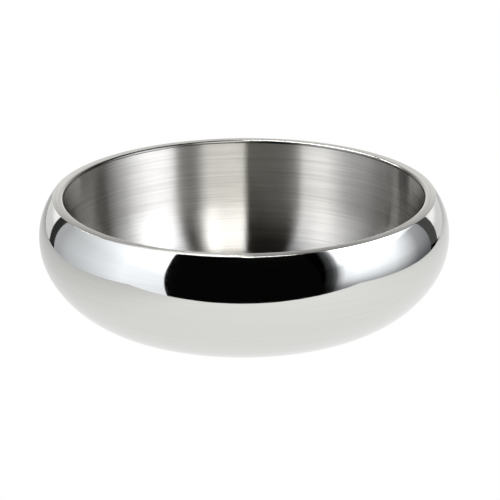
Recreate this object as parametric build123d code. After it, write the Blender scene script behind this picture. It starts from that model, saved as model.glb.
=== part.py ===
"""Double-walled shaving bowl, mm, +Z up, origin at the middle of the foot on the table.

A mirror-polished outer shell with a wide rounded belly carries a brushed inner liner.
The liner drops in through the shell's mouth, and a ring weld, ground flush with the
lip, joins the two. The air trapped between them stops hot water from heating the hand.
Every piece is turned about the Z axis from a section drawn in the XZ plane.
"""

from build123d import *
from math import acos, asin, atan2, cos, degrees, pi, sin, sqrt, tan
import os

# ---- overall sizes ----
belly_diameter = 128.0  # widest outside diameter
height = 39.5  # table to the top of the lip

# ---- outer shell ----
belly_height = 26.7  # table to the widest circle
shoulder_inset = 4.3  # how far the mouth's edge stands inside the belly
foot_inset = 30.2  # how far the foot's edge stands inside the belly
run_ratio = 3.0  # the underside arc's tangent length over the belly arc's
shell_wall = 0.8  # sheet thickness
foot_width = 4.5  # flat ring that the bowl stands on
recess_depth = 1.2  # how far the middle of the base is lifted off the table
recess_bend = 2.0  # radius of the two bends between the foot and the recess

# ---- inner liner ----
liner_wall = 0.7  # sheet thickness
lip_width = 3.5  # mouth's edge to the wall of the cavity
lip_bend = 0.15  # inside radius of the bend between the wall and the lip
lip_crown = 0.15  # fall of the lip from its top to the mouth's edge
floor_height = 5.5  # table to the inside floor
air_gap = 1.2  # least gap between the liner and the shell at the liner's corner

# ---- ring weld between the lip and the shell ----
weld_width = 0.8  # across the lip
weld_face = 0.6  # down the outside of the shoulder

# ---- vent plug in the base ----
vent_diameter = 3.0  # hole that lets the air out while the ring is welded
plug_clearance = 0.02  # radial, plug's shank to the hole
plug_head_overhang = 1.2  # head's edge past the hole
plug_head_height = 0.45  # at the middle of its dome
plug_head_edge = 0.15  # at its rim
plug_shank_past = 0.5  # shank's end past the sheet, inside the air space

# ---- worked out from the sizes above ----
belly_radius = belly_diameter / 2
mouth_radius = belly_radius - shoulder_inset
foot_radius = belly_radius - foot_inset
cavity_radius = mouth_radius - lip_width
lip_round = lip_bend + liner_wall
mouth_height = height - lip_crown


def at(centre, radius, angle):
    """Point on a circle in the section, at an angle from the outward direction."""
    return (centre[0] + radius * cos(angle), centre[1] + radius * sin(angle))


def arc(centre, radius, start, end):
    """Arc in the section from one angle to another."""
    middle = (start + end) / 2
    points = [at(centre, radius, angle) for angle in (start, middle, end)]
    return ThreePointArc(*points)


def turned(edges):
    """Solid of revolution about Z of the closed section that the edges bound."""
    section = Face(Wire([Plane.XZ * edge for edge in edges]))
    return revolve(section, Axis.Z, 360)


def lower_arcs():
    """Belly arc and underside arc, tangent to each other.

    The belly arc leaves the widest circle straight down, and the underside arc comes
    in level at the foot. Their tangent lengths are short and run_ratio * short.
    """
    across = foot_inset
    down = belly_height
    a = 2 * run_ratio
    b = 2 * (run_ratio * across + down)
    c = -(across**2 + down**2)
    short = (-b + sqrt(b * b - 4 * a * c)) / (2 * a)
    slope = atan2(down - short, across - run_ratio * short)
    turn = pi / 2 - slope
    belly_arc = short / tan(turn / 2)
    under_arc = run_ratio * short / tan(slope / 2)
    belly_centre = (belly_radius - belly_arc, belly_height)
    under_centre = (foot_radius, under_arc)
    return belly_centre, belly_arc, under_centre, under_arc, turn


def shoulder_arc():
    """Centre and radius of the arc from the widest circle up to the mouth's edge."""
    rise = mouth_height - belly_height
    radius = (shoulder_inset**2 + rise**2) / (2 * shoulder_inset)
    centre = (belly_radius - radius, belly_height)
    return centre, radius, asin(rise / radius)


def lip_arc():
    """Centre, radius and end angles of the crowned top of the lip and its weld."""
    run = lip_width - lip_round
    radius = (run**2 + lip_crown**2) / (2 * lip_crown)
    centre = (cavity_radius + lip_round, height - radius)
    outer = acos(run / radius)
    seam = acos((run - weld_width) / radius)
    return centre, radius, outer, seam


def liner_corner():
    """Outside radius of the liner's corner: as square as the air gap allows.

    The corner's circle touches the liner's wall and floor, and stays air_gap inside
    the shell's underside arc.
    """
    _, _, under_centre, under_arc, _ = lower_arcs()
    room = under_arc - shell_wall - air_gap
    a = cavity_radius + liner_wall - under_centre[0]
    b = floor_height - liner_wall - under_centre[1]
    half = b - a + room
    return -half - sqrt(half**2 - (a * a + b * b - room * room))


BELLY_CENTRE, BELLY_ARC, UNDER_CENTRE, UNDER_ARC, BELLY_TURN = lower_arcs()
SHOULDER_CENTRE, SHOULDER_ARC, SHOULDER_TURN = shoulder_arc()
LIP_CENTRE, LIP_ARC, LIP_OUTER, LIP_SEAM = lip_arc()
LINER_CORNER = liner_corner()
SHELL_TURN = SHOULDER_TURN - weld_face / SHOULDER_ARC


def shell_outline(inset):
    """Edges of one face of the shell's sheet, from the vent hole up to the weld."""
    bend = acos(1 - recess_depth / (2 * recess_bend))
    foot_inside = foot_radius - foot_width
    recess_edge = foot_inside - 2 * recess_bend * sin(bend)
    upper_centre = (recess_edge, recess_depth - recess_bend)
    lower_centre = (foot_inside, recess_bend)
    level = recess_depth + inset
    return [
        Line((vent_diameter / 2, level), (recess_edge, level)),
        arc(upper_centre, recess_bend + inset, pi / 2, pi / 2 - bend),
        arc(lower_centre, recess_bend - inset, -pi / 2 - bend, -pi / 2),
        Line((foot_inside, inset), (foot_radius, inset)),
        arc(UNDER_CENTRE, UNDER_ARC - inset, -pi / 2, -BELLY_TURN),
        arc(BELLY_CENTRE, BELLY_ARC - inset, -BELLY_TURN, 0),
        arc(SHOULDER_CENTRE, SHOULDER_ARC - inset, 0, SHELL_TURN),
    ]


def outer_shell():
    """Drawn and necked sheet, closed across the ends of its two faces."""
    outside = shell_outline(0)
    inside = shell_outline(shell_wall)
    vent_edge = Line(inside[0] @ 0, outside[0] @ 0)
    mouth_edge = Line(outside[-1] @ 1, inside[-1] @ 1)
    return turned(outside + [mouth_edge] + inside + [vent_edge])


def inner_liner():
    """Flat-floored drawn cup with a straight wall, turned out into the lip."""
    outside_radius = cavity_radius + liner_wall
    corner_centre = (outside_radius - LINER_CORNER, floor_height - liner_wall + LINER_CORNER)
    bend_centre = (cavity_radius + lip_round, height - lip_round)
    seam_top = at(LIP_CENTRE, LIP_ARC, LIP_SEAM)
    under_lip = height - liner_wall
    floor_under = floor_height - liner_wall
    inner_corner = LINER_CORNER - liner_wall
    return turned([
        Line((0, floor_under), (0, floor_height)),
        Line((0, floor_height), (corner_centre[0], floor_height)),
        arc(corner_centre, inner_corner, -pi / 2, 0),
        Line((cavity_radius, corner_centre[1]), (cavity_radius, bend_centre[1])),
        arc(bend_centre, lip_round, pi, pi / 2),
        arc(LIP_CENTRE, LIP_ARC, pi / 2, LIP_SEAM),
        Line(seam_top, (seam_top[0], under_lip)),
        Line((seam_top[0], under_lip), (bend_centre[0], under_lip)),
        arc(bend_centre, lip_bend, pi / 2, pi),
        Line((outside_radius, bend_centre[1]), (outside_radius, corner_centre[1])),
        arc(corner_centre, LINER_CORNER, 0, -pi / 2),
        Line((corner_centre[0], floor_under), (0, floor_under)),
    ])


def rim_weld():
    """Ring of weld between the lip's edge and the shell's edge, ground flush."""
    seam_top = at(LIP_CENTRE, LIP_ARC, LIP_SEAM)
    seam_bottom = (seam_top[0], height - liner_wall)
    shell_inner = at(SHOULDER_CENTRE, SHOULDER_ARC - shell_wall, SHELL_TURN)
    shell_outer = at(SHOULDER_CENTRE, SHOULDER_ARC, SHELL_TURN)
    return turned([
        arc(LIP_CENTRE, LIP_ARC, LIP_SEAM, LIP_OUTER),
        arc(SHOULDER_CENTRE, SHOULDER_ARC, SHOULDER_TURN, SHELL_TURN),
        Line(shell_outer, shell_inner),
        Line(shell_inner, seam_bottom),
        Line(seam_bottom, seam_top),
    ])


def vent_plug():
    """Domed plug that seals the vent hole, seated under the recess."""
    shank_radius = vent_diameter / 2 - plug_clearance
    head_radius = vent_diameter / 2 + plug_head_overhang
    rim = recess_depth - plug_head_edge
    rise = plug_head_height - plug_head_edge
    dome = (head_radius**2 + rise**2) / (2 * rise)
    dome_centre = (0, recess_depth - plug_head_height + dome)
    half_angle = asin(head_radius / dome)
    top = recess_depth + shell_wall + plug_shank_past
    return turned([
        arc(dome_centre, dome, -pi / 2, -pi / 2 + half_angle),
        Line((head_radius, rim), (head_radius, recess_depth)),
        Line((head_radius, recess_depth), (shank_radius, recess_depth)),
        Line((shank_radius, recess_depth), (shank_radius, top)),
        Line((shank_radius, top), (0, top)),
        Line((0, top), (0, recess_depth - plug_head_height)),
    ])


pieces = {
    "outer_shell": outer_shell(),
    "inner_liner": inner_liner(),
    "rim_weld": rim_weld(),
    "vent_plug": vent_plug(),
}

os.makedirs("parts", exist_ok=True)
for name, piece in pieces.items():
    export_step(piece, f"parts/{name}.step")

print("belly arc", round(BELLY_ARC, 2), "underside arc", round(UNDER_ARC, 2))
print("shoulder arc", round(SHOULDER_ARC, 2), "to", round(degrees(SHOULDER_TURN), 1), "degrees")
print("liner's inside corner", round(LINER_CORNER - liner_wall, 2))
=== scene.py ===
# %% [markdown]
# # A double-walled shaving bowl, turned and finished in Blender
#
# The real bowl is two drawn sheets of stainless steel: a mirror-polished outer shell with a
# rounded belly, and a liner brushed round its inside that drops in through the mouth and
# turns out into a flat satin lip. A ring of weld, ground flush, joins the two at the lip's
# outer edge, and a small plug under the base closes the air space between them.
#
# The CAD model fixes the sizes and the places. Its meshes are made for fitting, and a mirror
# shows every flat facet, so each piece is turned again here, finely, from the same section.

# %% Load the fixed frame
from math import acos, asin, atan2, ceil, cos, hypot, pi, radians, sin, sqrt, tan

import bpy
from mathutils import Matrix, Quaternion, Vector


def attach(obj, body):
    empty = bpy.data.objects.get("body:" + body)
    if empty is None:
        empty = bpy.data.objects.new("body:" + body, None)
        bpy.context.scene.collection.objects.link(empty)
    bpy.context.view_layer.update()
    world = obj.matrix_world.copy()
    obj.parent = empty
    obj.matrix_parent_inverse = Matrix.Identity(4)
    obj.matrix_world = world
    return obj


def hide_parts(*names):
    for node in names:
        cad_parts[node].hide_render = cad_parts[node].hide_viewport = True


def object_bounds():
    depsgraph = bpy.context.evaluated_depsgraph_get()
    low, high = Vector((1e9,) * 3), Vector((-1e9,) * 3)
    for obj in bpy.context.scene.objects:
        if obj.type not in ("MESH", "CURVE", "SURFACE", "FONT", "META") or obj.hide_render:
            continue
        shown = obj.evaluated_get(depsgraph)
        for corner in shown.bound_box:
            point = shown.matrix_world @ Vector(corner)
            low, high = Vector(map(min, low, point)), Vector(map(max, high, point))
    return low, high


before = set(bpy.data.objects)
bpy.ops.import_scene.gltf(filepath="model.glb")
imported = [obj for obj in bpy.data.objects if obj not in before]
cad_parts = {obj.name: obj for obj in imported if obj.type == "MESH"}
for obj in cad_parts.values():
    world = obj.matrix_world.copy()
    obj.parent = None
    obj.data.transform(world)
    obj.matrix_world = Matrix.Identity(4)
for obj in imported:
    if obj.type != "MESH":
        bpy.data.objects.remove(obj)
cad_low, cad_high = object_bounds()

print("CAD box, mm:", [round(1000 * side, 1) for side in cad_high - cad_low])

# %% [markdown]
# ## Sizes
#
# The overall sizes are read from the frame. What a box can't tell, such as the sheets'
# thickness and the bends, is named here, in metres.

# %% Sizes of the bowl
mm = 0.001
belly_radius = (cad_high.x - cad_low.x) / 2
height = cad_high.z
belly_height = 26.7 * mm
shoulder_inset = 4.3 * mm
foot_inset = 30.2 * mm
run_ratio = 3.0
shell_wall = 0.8 * mm
foot_width = 4.5 * mm
recess_depth = 1.2 * mm
recess_bend = 2.0 * mm
liner_wall = 0.7 * mm
lip_width = 3.5 * mm
lip_bend = 0.15 * mm
lip_crown = 0.15 * mm
floor_height = 5.5 * mm
air_gap = 1.2 * mm
weld_width = 0.8 * mm
weld_face = 0.6 * mm
edge_break = 0.12 * mm
vent_radius = 1.5 * mm

mouth_radius = belly_radius - shoulder_inset
foot_radius = belly_radius - foot_inset
cavity_radius = mouth_radius - lip_width
lip_round = lip_bend + liner_wall
mouth_height = height - lip_crown
print("mouth across, mm:", round(2000 * cavity_radius, 2))

# %% [markdown]
# ## The section's arcs
#
# A spun or pressed outline is made of arcs that run into each other. The belly arc leaves
# the widest circle straight down and the underside arc comes in level at the foot, so their
# sizes follow from the two ends. The shoulder arc starts at the widest circle too and ends
# at the mouth's edge. A centre, a radius and two angles then describe each bend, and the
# sheet's inner face has the same centres with the thickness taken off the radius.


# %% Arcs of the shell
def lower_arcs():
    """Belly arc's radius, underside arc's radius and the angle where they meet."""
    square = 2 * run_ratio
    linear = 2 * (run_ratio * foot_inset + belly_height)
    ends = foot_inset**2 + belly_height**2
    short = (sqrt(linear**2 + 4 * square * ends) - linear) / (2 * square)
    slope = atan2(belly_height - short, foot_inset - run_ratio * short)
    turn = pi / 2 - slope
    return short / tan(turn / 2), run_ratio * short / tan(slope / 2), turn


belly_arc, under_arc, belly_turn = lower_arcs()
shoulder_rise = mouth_height - belly_height
shoulder_arc = (shoulder_inset**2 + shoulder_rise**2) / (2 * shoulder_inset)
shoulder_turn = asin(shoulder_rise / shoulder_arc)
shell_turn = shoulder_turn - weld_face / shoulder_arc

belly_centre = (belly_radius - belly_arc, belly_height)
under_centre = (foot_radius, under_arc)
shoulder_centre = (belly_radius - shoulder_arc, belly_height)
print("belly arc, mm:", round(1000 * belly_arc, 2), "underside arc:", round(1000 * under_arc, 2))

# %% Arcs of the lip and of the liner's corner
lip_run = lip_width - lip_round
lip_arc = (lip_run**2 + lip_crown**2) / (2 * lip_crown)
lip_centre = (cavity_radius + lip_round, height - lip_arc)
lip_outer = acos(lip_run / lip_arc)
lip_seam = acos((lip_run - weld_width) / lip_arc)

room = under_arc - shell_wall - air_gap
across = cavity_radius + liner_wall - under_centre[0]
down = floor_height - liner_wall - under_centre[1]
half = down - across + room
corner_arc = -half - sqrt(half**2 - (across**2 + down**2 - room**2)) - liner_wall
print("liner's inside corner, mm:", round(1000 * corner_arc, 2))

# %% [markdown]
# ## A pen that draws sections
#
# A lathe turns a section about an axis, and Blender's spin operator does the same. It draws
# the section's own bends as well: a single point is spun round each bend's centre and
# extruded along each straight. The pen remembers where it is, so that every bend starts at
# the last one's end. A plane merged to its middle is a handy way to get one point.


# %% The pen
class Pen:
    """Draws a section in the XZ plane in edit mode, then turns it about Z."""

    def __init__(self, name, start, step):
        bpy.ops.object.select_all(action="DESELECT")
        bpy.ops.mesh.primitive_plane_add(size=mm, location=(0, 0, 0))
        self.piece = bpy.context.object
        self.piece.name = name
        self.piece.data.name = name
        self.step = step
        self.at = start
        bpy.ops.object.mode_set(mode="EDIT")
        bpy.ops.mesh.merge(type="CENTER")
        bpy.ops.transform.translate(value=(start[0], 0, start[1]))

    def line(self, r, z, steps=1):
        """Straight run to a radius and a height."""
        run = ((r - self.at[0]) / steps, 0, (z - self.at[1]) / steps)
        for _ in range(steps):
            move = {"value": run}
            bpy.ops.mesh.extrude_region_move(TRANSFORM_OT_translate=move)
        self.at = (r, z)

    def bend(self, centre, angle, step=None):
        """Arc about a centre, by an angle that is positive from outward to up."""
        out, up = self.at[0] - centre[0], self.at[1] - centre[1]
        length = hypot(out, up) * abs(angle)
        steps = max(3, ceil(length / (step or self.step)))
        middle = (centre[0], 0, centre[1])
        bpy.ops.mesh.spin(steps=steps, angle=angle, center=middle, axis=(0, 1, 0))
        turned_out = out * cos(angle) - up * sin(angle)
        turned_up = out * sin(angle) + up * cos(angle)
        self.at = (centre[0] + turned_out, centre[1] + turned_up)

    def turn(self, steps):
        """Spins the section round Z and gives the finished piece."""
        bpy.ops.mesh.select_all(action="SELECT")
        bpy.ops.mesh.remove_doubles(threshold=merge_distance)
        bpy.ops.mesh.select_all(action="SELECT")
        bpy.ops.mesh.spin(steps=steps, angle=2 * pi, center=(0, 0, 0), axis=(0, 0, 1))
        bpy.ops.mesh.select_all(action="SELECT")
        bpy.ops.mesh.remove_doubles(threshold=merge_distance)
        bpy.ops.mesh.select_all(action="SELECT")
        bpy.ops.mesh.normals_make_consistent(inside=False)
        bpy.ops.object.mode_set(mode="OBJECT")
        bpy.ops.object.shade_smooth_by_angle(angle=sharp_angle)
        report(self.piece)
        return self.piece


merge_distance = 0.002 * mm
sharp_angle = radians(40)


def report(piece):
    """Prints a piece's faces and its size."""
    low = Vector(map(min, zip(*[v.co for v in piece.data.vertices])))
    high = Vector(map(max, zip(*[v.co for v in piece.data.vertices])))
    size = [round(1000 * side, 2) for side in high - low]
    print(piece.name, "faces", len(piece.data.polygons), "size, mm", size)


# %% [markdown]
# ## The outer shell
#
# One sheet: a flat ring to stand on, a shallow recess that keeps the middle of the base off
# the table, the long underside, the belly and the shoulder that leans in to the mouth. The
# outside is drawn in half-millimetre steps, because the eye reads a mirror by its normals,
# and the hidden inside is drawn coarsely.

# %% How finely the pieces are drawn
shell_steps = 320
fine_step = 0.5 * mm
hidden_step = 3.0 * mm
recess_step = 0.3 * mm


# %% Turn the outer shell
def recess_bends():
    """Angle of the recess's two bends and the radius of the recess's flat middle."""
    angle = acos(1 - recess_depth / (2 * recess_bend))
    edge = foot_radius - foot_width - 2 * recess_bend * sin(angle)
    return angle, edge


def turn_shell():
    """The polished outer shell, from the vent hole out and up, and back inside."""
    bend_angle, recess_edge = recess_bends()
    foot_inside = foot_radius - foot_width
    upper = (recess_edge, recess_depth - recess_bend)
    lower = (foot_inside, recess_bend)
    pen = Pen("polished_shell", (vent_radius, recess_depth), fine_step)
    pen.line(recess_edge, recess_depth, 6)
    pen.bend(upper, -bend_angle, recess_step)
    pen.bend(lower, bend_angle, recess_step)
    pen.line(foot_radius, 0, 4)
    pen.bend(under_centre, pi / 2 - belly_turn)
    pen.bend(belly_centre, belly_turn)
    pen.bend(shoulder_centre, shell_turn)
    inner = shoulder_arc - shell_wall
    inner_end = (
        shoulder_centre[0] + inner * cos(shell_turn),
        shoulder_centre[1] + inner * sin(shell_turn),
    )
    pen.line(*inner_end)
    pen.bend(shoulder_centre, -shell_turn, hidden_step)
    pen.bend(belly_centre, -belly_turn, hidden_step)
    pen.bend(under_centre, belly_turn - pi / 2, hidden_step)
    pen.line(foot_inside, shell_wall)
    pen.bend(lower, -bend_angle)
    pen.bend(upper, bend_angle)
    pen.line(vent_radius, recess_depth + shell_wall)
    pen.line(vent_radius, recess_depth)
    return pen.turn(shell_steps)


shell = turn_shell()

# %% [markdown]
# ## The liner
#
# A straight wall, a corner and a flat floor, drawn in the steps that its brushing needs. At
# the top the sheet bends outwards over a tight radius into the lip, which falls away by a
# hair's breadth to the seam.

# %% Turn the liner
liner_steps = 256
lip_step = 0.12 * mm
corner_step = 0.02 * mm


def turn_liner():
    """The brushed liner, from the middle of the floor up, over the lip and back below."""
    outside_radius = cavity_radius + liner_wall
    corner = (cavity_radius - corner_arc, floor_height + corner_arc)
    bend = (cavity_radius + lip_round, height - lip_round)
    under_lip = height - liner_wall
    pen = Pen("brushed_liner", (0, floor_height), fine_step)
    pen.line(corner[0], floor_height, 24)
    pen.bend(corner, pi / 2)
    pen.line(cavity_radius, bend[1], 24)
    pen.bend(bend, -pi / 2, lip_step)
    pen.bend(lip_centre, lip_seam - pi / 2, 4 * lip_step)
    pen.line(pen.at[0], under_lip)
    pen.line(bend[0], under_lip)
    pen.bend(bend, pi / 2)
    pen.line(outside_radius, corner[1])
    pen.bend(corner, -pi / 2, hidden_step)
    pen.line(0, floor_height - liner_wall)
    return pen.turn(liner_steps)


liner = turn_liner()

# %% [markdown]
# ## The ring weld
#
# Ground flush, the weld is only a narrow ring, but it is where the flat lip turns down into
# the shoulder. No ground edge is a knife edge, so its corner is broken over a small radius,
# and that radius is what draws the thin dark line round the mouth.

# %% The weld's broken corner
def edge_break_arc():
    """Centre and end angles of the small arc that joins the lip's arc to the shoulder's."""
    lip_reach = lip_arc - edge_break
    shoulder_reach = shoulder_arc - edge_break
    gap_r = lip_centre[0] - shoulder_centre[0]
    gap_z = lip_centre[1] - shoulder_centre[1]
    apart = hypot(gap_r, gap_z)
    along = (shoulder_reach**2 - lip_reach**2 + apart**2) / (2 * apart)
    aside = sqrt(shoulder_reach**2 - along**2)
    unit_r, unit_z = gap_r / apart, gap_z / apart
    tries = [
        (
            shoulder_centre[0] + unit_r * along - side * unit_z * aside,
            shoulder_centre[1] + unit_z * along + side * unit_r * aside,
        )
        for side in (-1, 1)
    ]
    centre = max(tries, key=lambda place: place[1])
    from_lip = atan2(centre[1] - lip_centre[1], centre[0] - lip_centre[0])
    from_shoulder = atan2(centre[1] - shoulder_centre[1], centre[0] - shoulder_centre[0])
    return centre, from_lip, from_shoulder


# %% Turn the weld
def turn_weld():
    """The ground weld, over its top, down the shoulder and back under."""
    corner, lip_angle, shoulder_angle = edge_break_arc()
    seam_top = (
        lip_centre[0] + lip_arc * cos(lip_seam),
        lip_centre[1] + lip_arc * sin(lip_seam),
    )
    inner = shoulder_arc - shell_wall
    shell_inner = (
        shoulder_centre[0] + inner * cos(shell_turn),
        shoulder_centre[1] + inner * sin(shell_turn),
    )
    pen = Pen("ground_weld", seam_top, lip_step)
    pen.bend(lip_centre, lip_angle - lip_seam)
    pen.bend(corner, shoulder_angle - lip_angle, corner_step)
    pen.bend(shoulder_centre, shell_turn - shoulder_angle)
    pen.line(*shell_inner)
    pen.line(seam_top[0], height - liner_wall)
    pen.line(*seam_top)
    return pen.turn(shell_steps)


weld = turn_weld()

# %% [markdown]
# ## The vent plug
#
# A domed button on a short shank, pushed up into the vent hole from below. Its head seats
# on the recess, well clear of the table.

# %% Turn the vent plug
plug_head = 2.7 * mm
plug_rim = 0.15 * mm
plug_height = 0.45 * mm
plug_shank = vent_radius - 0.02 * mm
plug_top = recess_depth + shell_wall + 0.5 * mm
plug_steps = 48


def turn_plug():
    """The plug, from the middle of its dome out, round its head and up its shank."""
    rise = plug_height - plug_rim
    dome = (plug_head**2 + rise**2) / (2 * rise)
    lowest = recess_depth - plug_height
    pen = Pen("vent_button", (0, lowest), 0.2 * mm)
    pen.bend((0, lowest + dome), asin(plug_head / dome))
    pen.line(plug_head, recess_depth)
    pen.line(plug_shank, recess_depth)
    pen.line(plug_shank, plug_top)
    pen.line(0, plug_top)
    return pen.turn(plug_steps)


plug = turn_plug()

# %% [markdown]
# ## Materials
#
# Every finish here is stainless steel 304, and only its surface differs. A metal's colour is
# its reflectance, so the hex values are light, nearly neutral greys. One function turns a hex
# value into the linear numbers that Blender uses, and one adds a node and links it up. A node
# such as Math or Mix hides the sockets that its setting doesn't use, so only the enabled ones
# are looked at.


# %% Colour and node helpers
def linear(hex_value):
    """sRGB hex to linear RGBA."""
    channels = [int(hex_value[i:i + 2], 16) / 255 for i in (0, 2, 4)]
    bent = [c / 12.92 if c <= 0.04045 else ((c + 0.055) / 1.055) ** 2.4 for c in channels]
    return (*bent, 1.0)


def node(tree, kind, *values, **named):
    """Adds a node. Values go to its inputs in order, and may be sockets or other nodes.

    A keyword in small letters is a setting, and one with a capital names an input.
    """
    made = tree.nodes.new(kind)
    for name, value in named.items():
        if name.islower():
            setattr(made, name, value)
    enabled = [socket for socket in made.inputs if socket.enabled]
    fed = list(zip(enabled, values))
    for name, value in named.items():
        if not name.islower():
            wanted = name.replace("_", " ")
            fed.append((next(socket for socket in enabled if socket.name == wanted), value))
    for socket, value in fed:
        if isinstance(value, bpy.types.Node):
            value = next(output for output in value.outputs if output.enabled)
        if isinstance(value, bpy.types.NodeSocket):
            tree.links.new(value, socket)
        else:
            socket.default_value = value
    return made


def new_material(name):
    """An empty node material, and its tree."""
    made = bpy.data.materials.new(name)
    made.use_nodes = True
    made.node_tree.nodes.clear()
    return made, made.node_tree


# %% [markdown]
# ## Which way the marks run
#
# Every finish on a turned bowl is made while it spins, so its marks are rings. A ring has one
# distance from the axis and one height, and the sum of those two grows steadily from the
# middle of the floor, round the corner, up the wall and out over the lip. A noise texture
# that changes fast along that sum, and slowly across the bowl, draws brush marks that follow
# the sheet without any unwrapping.


# %% Marks in rings
def ring_marks(tree, spacing, length):
    """Noise from 0 to 1 in rings: the marks' spacing and length are in metres."""
    place = node(tree, "ShaderNodeTexCoord").outputs["Object"]
    x, y, z = node(tree, "ShaderNodeSeparateXYZ", place).outputs
    flat = node(tree, "ShaderNodeCombineXYZ", x, y)
    radius = node(tree, "ShaderNodeVectorMath", flat, operation="LENGTH")
    run = node(tree, "ShaderNodeMath", radius, z, operation="ADD")
    across = node(tree, "ShaderNodeMath", run, 1 / spacing, operation="MULTIPLY")
    slow_x = node(tree, "ShaderNodeMath", x, 1 / length, operation="MULTIPLY")
    slow_y = node(tree, "ShaderNodeMath", y, 1 / length, operation="MULTIPLY")
    stretched = node(tree, "ShaderNodeCombineXYZ", slow_x, slow_y, across)
    return node(
        tree, "ShaderNodeTexNoise", stretched, Scale=1.0, Detail=3.0, Roughness=0.6
    )


# %% [markdown]
# ## Mirror-polished stainless steel
#
# The outside is buffed to a mirror. Stainless steel reflects about two thirds of the light,
# a little less of the blue. Buffing leaves rings too faint to see as lines, which show only
# as the slightest softness of a reflection, so they change the roughness and barely tilt
# the surface. Noise keeps mostly to its middle values, so only those are spread over the
# range of roughness.


# %% Polished steel
def polished_steel():
    """Mirror-polished 304: sharp reflections with the faintest buffing rings."""
    made, tree = new_material("mirror-polished stainless steel")
    marks = ring_marks(tree, 0.9 * mm, 60 * mm)
    tone = node(tree, "ShaderNodeMapRange", marks, From_Min=0.3, From_Max=0.7)
    colour = node(
        tree, "ShaderNodeMix", data_type="RGBA",
        Factor=tone, A=linear("D6D7D3"), B=linear("DADBD7"),
    )
    blur = node(
        tree, "ShaderNodeMapRange", marks,
        From_Min=0.3, From_Max=0.7, To_Min=0.035, To_Max=0.06,
    )
    bump = node(tree, "ShaderNodeBump", Height=marks, Strength=0.35, Distance=0.004 * mm)
    shader = node(
        tree, "ShaderNodeBsdfPrincipled",
        Base_Color=colour, Metallic=1.0, Roughness=blur, Normal=bump,
    )
    node(tree, "ShaderNodeOutputMaterial", shader)
    return made


# %% [markdown]
# ## Brushed stainless steel
#
# The liner is brushed while it spins. Each scratch is a tiny groove round the bowl, so light
# is spread up and down, across the grooves, and hardly at all along them. That is why the
# cards show in the wall as sharp upright bands. A glossy shader with strong anisotropy and
# a tangent that runs round the axis gives this. It is used here rather than the all-purpose
# shader, because it can spread light far more one way than the other. The scratches that the
# eye can pick out are about three quarters of a millimetre apart, with finer ones between.
#
# The lip and the weld get the same treatment with a finer belt, which leaves them satin. The
# tight bend where the lip meets the wall is given a much darker steel colour: painted shade,
# which draws a thin dark line round the mouth.


# %% Brushed steel
def brushed_steel(name, dark, light, spacing, roughness, anisotropy, depth):
    """304 brushed round the axis: its tones in hex, its scratches' spacing and depth."""
    made, tree = new_material(name)
    marks = ring_marks(tree, spacing, 45 * mm)
    fine = ring_marks(tree, spacing / 3, 20 * mm)
    both = node(tree, "ShaderNodeMath", marks, fine, operation="ADD")
    even = node(tree, "ShaderNodeMath", both, 0.5, operation="MULTIPLY")
    tone = node(tree, "ShaderNodeMapRange", even, From_Min=0.34, From_Max=0.66)
    colour = node(
        tree, "ShaderNodeMix", data_type="RGBA", Factor=tone, A=linear(dark), B=linear(light)
    )
    blur = node(
        tree, "ShaderNodeMapRange", marks, From_Min=0.3, From_Max=0.7,
        To_Min=roughness - 0.015, To_Max=roughness + 0.015,
    )
    bump = node(tree, "ShaderNodeBump", Height=even, Strength=0.6, Distance=depth)
    round_axis = node(tree, "ShaderNodeTangent", direction_type="RADIAL", axis="Z")
    shader = node(
        tree, "ShaderNodeBsdfAnisotropic", distribution="BECKMANN", Color=colour,
        Roughness=blur, Anisotropy=anisotropy, Normal=bump, Tangent=round_axis,
    )
    node(tree, "ShaderNodeOutputMaterial", shader)
    return made


# %% Make the finishes
polish = polished_steel()
brushed = brushed_steel(
    "brushed stainless steel", "C2C0BB", "DEDCD7",
    spacing=0.75 * mm, roughness=0.29, anisotropy=0.86, depth=0.02 * mm,
)
satin = brushed_steel(
    "satin stainless steel", "BFBDB9", "D6D5D1",
    spacing=0.5 * mm, roughness=0.2, anisotropy=0.7, depth=0.01 * mm,
)
# Much darker steel for the bend under the lip: painted shade for the thin dark line round the
# mouth.
bend_shade_steel = brushed_steel(
    "bend steel darkened as painted shade", "6E6D6A", "858480",
    spacing=0.3 * mm, roughness=0.3, anisotropy=0.4, depth=0.01 * mm,
)
print("finishes:", [made.name for made in (polish, brushed, satin, bend_shade_steel)])

# %% [markdown]
# ## Which face has which finish
#
# Each piece starts with its main finish. The liner's top then gets two more: satin where the
# lip faces up, and a much darker steel, painted shade, in the bend between the lip and the wall.
# The weld is satin with the lip and polished where it turns down into the shoulder. The faces
# are found by their height and by how far they face up: a normal's Z is 1 on a level face and 0
# on an upright one, so a limit of 1.1 asks for nothing.


# %% Finish the pieces
def refinish(piece, finish, lowest, least_up, most_up):
    """Gives a finish to the faces above a height that face up by as much as is asked."""
    piece.data.materials.append(finish)
    slot = len(piece.data.materials) - 1
    picked = [
        face for face in piece.data.polygons
        if face.center.z > lowest and least_up < face.normal.z < most_up
    ]
    for face in picked:
        face.material_index = slot
    print(piece.name, "has", len(picked), "faces in", finish.name)


for piece, finish in ((shell, polish), (liner, brushed), (weld, satin), (plug, satin)):
    piece.data.materials.clear()
    piece.data.materials.append(finish)

bend_foot = height - lip_round
lip_starts = 0.8
weld_turns_down = 0.93
refinish(liner, satin, bend_foot, lip_starts, 1.1)
# The bend between lip and wall gets the darker steel, painted shade.
refinish(liner, bend_shade_steel, bend_foot, 0.05, lip_starts)
refinish(weld, polish, 0, -1.1, weld_turns_down)

# %% [markdown]
# ## Into the frame
#
# Nothing on the bowl moves, so all four pieces ride on the one body. Each takes the place of
# the CAD piece that it was turned from.

# %% Put the pieces in the frame
for piece, cad_node, slot in (
    (shell, "outer_shell", "polished_steel"),
    (liner, "inner_liner", "brushed_steel"),
    (weld, "rim_weld", "ground_weld"),
    (plug, "vent_plug", "plug_steel"),
):
    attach(piece, "root")
    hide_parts(cad_node)
    print(piece.name, "replaces", cad_node)

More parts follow.
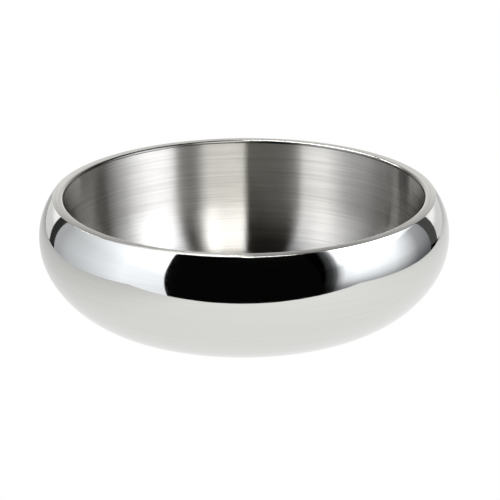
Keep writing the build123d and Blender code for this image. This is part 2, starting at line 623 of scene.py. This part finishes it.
# %% [markdown]
# ## The camera
#
# A long lens from far off keeps the mouth's ellipse even, as catalogue views of bowls do. It
# looks down at 18 degrees, enough to see the inside and still see the belly. The lens follows
# from how much width should fill the picture at the bowl.

# %% Camera
camera_elevation = radians(18.02)
camera_roll = radians(-0.32)
camera_distance = 16 * belly_radius
aim_below_rim = 17.36 * mm
aim_beside_axis = 1.78 * mm
picture_width = 155.7 * mm

camera_data = bpy.data.cameras.new("camera")
camera = bpy.data.objects.new("camera", camera_data)
bpy.context.scene.collection.objects.link(camera)
bpy.context.scene.camera = camera
rim_middle = Vector((0, 0, mouth_height))
back = Vector((0, -cos(camera_elevation), sin(camera_elevation)))
up = Vector((0, sin(camera_elevation), cos(camera_elevation)))
camera.location = rim_middle + camera_distance * back
target = rim_middle - aim_below_rim * up + aim_beside_axis * Vector((1, 0, 0))
look = target - camera.location
camera.rotation_mode = "QUATERNION"
camera.rotation_quaternion = look.to_track_quat("-Z", "Y") @ Quaternion((0, 0, 1), camera_roll)
camera_data.sensor_width = 36
camera_data.lens = camera_data.sensor_width * look.length / picture_width
camera_data.clip_start = 0.05
camera_data.clip_end = 100
camera_data.dof.use_dof = False
print("lens, mm:", round(camera_data.lens, 1))

# %% [markdown]
# ## White all round
#
# The bowl stands on plain white with no shadow. A wide glowing floor gives that, and it is
# hidden from reflections, so that it doesn't wash out what the steel shows. The world itself
# is nearly black, for the dark that polished steel needs.


# %% Even light
def glowing(name, hex_value, strength):
    """A material that gives even light."""
    made, tree = new_material(name)
    shader = node(tree, "ShaderNodeEmission", linear(hex_value), strength)
    node(tree, "ShaderNodeOutputMaterial", shader)
    return made


# %% Floor and world
floor_width = 40
floor_drop = 0.02 * mm
bpy.ops.object.select_all(action="DESELECT")
bpy.ops.mesh.primitive_plane_add(size=floor_width, location=(0, 0, -floor_drop))
floor = bpy.context.object
floor.name = "floor"
floor.data.materials.append(glowing("white floor", "FFFFFF", 1.0))
floor.visible_glossy = False
floor.visible_diffuse = False

world = bpy.data.worlds.new("studio")
bpy.context.scene.world = world
world.use_nodes = True
world.node_tree.nodes.clear()
sky = node(world.node_tree, "ShaderNodeBackground", (0.002, 0.002, 0.002, 1))
node(world.node_tree, "ShaderNodeOutputWorld", sky)
print("floor, m:", floor_width)

# %% [markdown]
# ## What the steel sees
#
# A mirror shows its surroundings, so the studio is laid out as for any shiny goods: a white
# table top, a white card close on each side, a backdrop and lights overhead. The gap in
# front, where a camera would stand, stays dark and draws the black band on the belly. The
# cards give light but the camera doesn't see them. A card's brightness falls off towards its
# ends as a lamp's does behind a diffuser, so it follows a ramp along two directions. Stops
# are given as a place in metres and a brightness up to 1.


# %% Light that fades
def ramp_of(tree, value, ramp):
    """Brightness along one coordinate, from its stops."""
    first, last = ramp[0][0], ramp[-1][0]
    along = node(tree, "ShaderNodeMapRange", value, From_Min=first, From_Max=last)
    fade = node(tree, "ShaderNodeValToRGB", along)
    stops = fade.color_ramp.elements
    for place, brightness in ramp:
        if place in (first, last):
            stop = stops[0 if place == first else -1]
        else:
            stop = stops.new((place - first) / (last - first))
        stop.color = (brightness, brightness, brightness, 1)
    return fade


def fading(name, hex_value, first_ramp, second_ramp, strength, axes="YZ", slant=0.0):
    """Light whose brightness follows one ramp along each of two axes.

    The slant is how far the first ramp moves on for each metre along the second axis.
    """
    made, tree = new_material(name)
    place = node(tree, "ShaderNodeTexCoord").outputs["Object"]
    parts = node(tree, "ShaderNodeSeparateXYZ", place).outputs
    moved = node(tree, "ShaderNodeMath", parts[axes[1]], -slant, operation="MULTIPLY")
    along = node(tree, "ShaderNodeMath", parts[axes[0]], moved, operation="ADD")
    first = ramp_of(tree, along, first_ramp)
    second = ramp_of(tree, parts[axes[1]], second_ramp)
    level = node(tree, "ShaderNodeMath", first, second, operation="MULTIPLY")
    total = node(tree, "ShaderNodeMath", level, strength, operation="MULTIPLY")
    shader = node(tree, "ShaderNodeEmission", linear(hex_value), total)
    node(tree, "ShaderNodeOutputMaterial", shader)
    return made


def panel(name, corners, light):
    """A flat panel through four corners, in metres, that only reflections see."""
    bpy.ops.object.select_all(action="DESELECT")
    bpy.ops.mesh.primitive_plane_add(size=1)
    made = bpy.context.object
    made.name = name
    for vertex, corner in zip(made.data.vertices, corners):
        vertex.co = corner
    made.data.materials.append(light)
    made.visible_camera = False
    print("panel:", name)
    return made


# %% The table top
table_front, table_back = -0.129, 0.64
table_half = 0.20
table_drop = floor_drop + 0.01 * mm
panel(
    "table",
    [(x, y, -table_drop) for y in (table_front, table_back) for x in (-table_half, table_half)],
    fading(
        "white table", "FFFFFF",
        [(table_front, 1.0), (-0.08, 0.98), (0, 0.9), (0.1, 0.8), (0.2, 0.6), (table_back, 0.5)],
        [(-table_half, 0.7), (-0.1, 0.82), (-0.05, 0.96), (0.08, 1), (table_half, 0.94)],
        strength=1.04, axes="YX",
    ),
)

# %% [markdown]
# ## Side cards
#
# Each side has a card down to the table and a second one above it, brighter, where the lamp
# behind it stands. The left pair ends in a clean front edge that leans back as it rises,
# because the shoulder of the bowl looks steeply upwards, and the lean keeps the edge of the
# dark band nearly upright there. The right pair fades out instead, so the dark band is hard
# on one side and soft on the other.


# %% Cards beside the bowl
def side_card(name, x, along, upward, strength, lean=0.0, slant=0.0):
    """An upright card beside the bowl, as long as one ramp and as high as the other.

    The lean is how much further back the top of its front edge is than the bottom, and
    the slant leans the whole ramp instead.
    """
    front, far = along[0][0], along[-1][0]
    bottom, top = upward[0][0], upward[-1][0]
    corners = [(x, front, bottom), (x, far, bottom), (x, front + lean, top), (x, far, top)]
    light = fading(name, "F6F8FF", along, upward, strength, slant=slant)
    return panel(name, corners, light)


card_distance = 0.235
right_slant = 0.2
side_card(
    "left_card", -card_distance,
    [
        (-0.29, 0.93), (-0.2, 0.97), (-0.122, 1.0), (-0.07, 0.8),
        (-0.005, 0.62), (0.05, 0.51), (0.085, 0.4), (0.12, 0.4),
    ],
    [(-0.08, 0.65), (0.0, 0.68), (0.03, 0.72), (0.1, 0.76), (0.17, 0.97), (0.22, 1.0)],
    strength=1.95, lean=0.029,
)
side_card(
    "left_upper", -card_distance,
    [(-0.261, 0.66), (-0.15, 0.68), (-0.05, 0.8), (0, 1.0), (0.04, 0.85), (0.12, 0.5)],
    [(0.22, 0.95), (0.26, 1), (0.35, 1), (0.6, 0.6)],
    strength=2.7, lean=0.076,
)
side_card(
    "right_card", card_distance,
    [
        (-0.29, 0), (-0.255, 0.03), (-0.237, 0.1), (-0.222, 0.42), (-0.2, 0.85), (-0.16, 1),
        (-0.1, 1), (-0.05, 0.9), (-0.01, 0.6), (0.03, 0.28), (0.07, 0.22), (0.095, 0.2),
    ],
    [(-0.08, 0.11), (-0.02, 0.18), (0, 0.3), (0.02, 0.5), (0.05, 0.75), (0.12, 1)],
    strength=2.0, slant=right_slant,
)
side_card(
    "right_upper", card_distance,
    [
        (-0.29, 0), (-0.255, 0.02), (-0.237, 0.08), (-0.222, 0.35), (-0.2, 0.7),
        (-0.17, 0.82), (-0.13, 0.9), (-0.07, 1), (-0.03, 0.95), (0, 0.6), (0.095, 0.3),
    ],
    [(0.12, 0.42), (0.17, 1), (0.35, 1), (0.5, 0.3)],
    strength=4.9, slant=right_slant,
)

# %% [markdown]
# ## Lights overhead and backdrop
#
# The inside of the bowl faces up, so it sees the lights on the ceiling. A card there is placed
# by its bearing from the camera's side, in degrees with right positive, and its elevation.


# %% Lights overhead
def sky_card(name, bearings, elevations, strength):
    """A card a metre away between two bearings and two elevations."""
    corners = []
    for elevation in elevations:
        for bearing in bearings:
            level = cos(radians(elevation))
            right, front = sin(radians(bearing)), cos(radians(bearing))
            rise = height + sin(radians(elevation))
            corners.append((level * right, -level * front, rise))
    return panel(name, corners, glowing(name, "FFFFFF", strength))


for name, bearings, elevations, strength in (
    ("front_a", (-1.4, 15), (56, 67), 15.0),
    ("front_b", (15, 28.5), (56, 67), 15.5),
    ("front_c", (28.5, 42.5), (56, 67), 18.0),
    ("front_d", (42.5, 50), (56, 67), 5.5),
    ("top", (-1.4, 60), (78, 90), 0.3),
    ("back_high", (-180, -150), (43, 56), 9.5),
    ("back_left_low", (-150, -130), (30, 43), 7.0),
):
    sky_card(name, bearings, elevations, strength)


# %% Backdrop, and the dim room past its two ends
def back_panel(name, left, right, rise, light):
    """An upright panel behind the table, from just below the table top to a height."""
    corners = [(x, table_back, z) for z in (-0.1, rise) for x in (left, right)]
    return panel(name, corners, light)


backdrop_light = fading(
    "backdrop", "FFFFFF",
    [(-0.68, 1), (0.74, 1)],
    [(-0.1, 0.66), (0.05, 0.68), (0.12, 1), (0.2, 0.97), (0.3, 0.52), (0.38, 0.3), (0.6, 0.16)],
    strength=1.22, axes="XZ",
)
back_panel("backdrop", -0.68, 0.74, 0.6, backdrop_light)
back_panel("room_left", -1.6, -0.69, 1.0, glowing("dim room on the left", "FFFFFF", 0.035))
back_panel("room_right", 0.75, 2.0, 1.0, glowing("dim room on the right", "FFFFFF", 0.08))

# %% [markdown]
# ## The view
#
# Standard keeps a white of 1 as white. The two boxes are written out to compare the turned
# bowl with the CAD one.

# %% View
view = bpy.context.scene.view_settings
view.view_transform = "Standard"
view.look = "None"
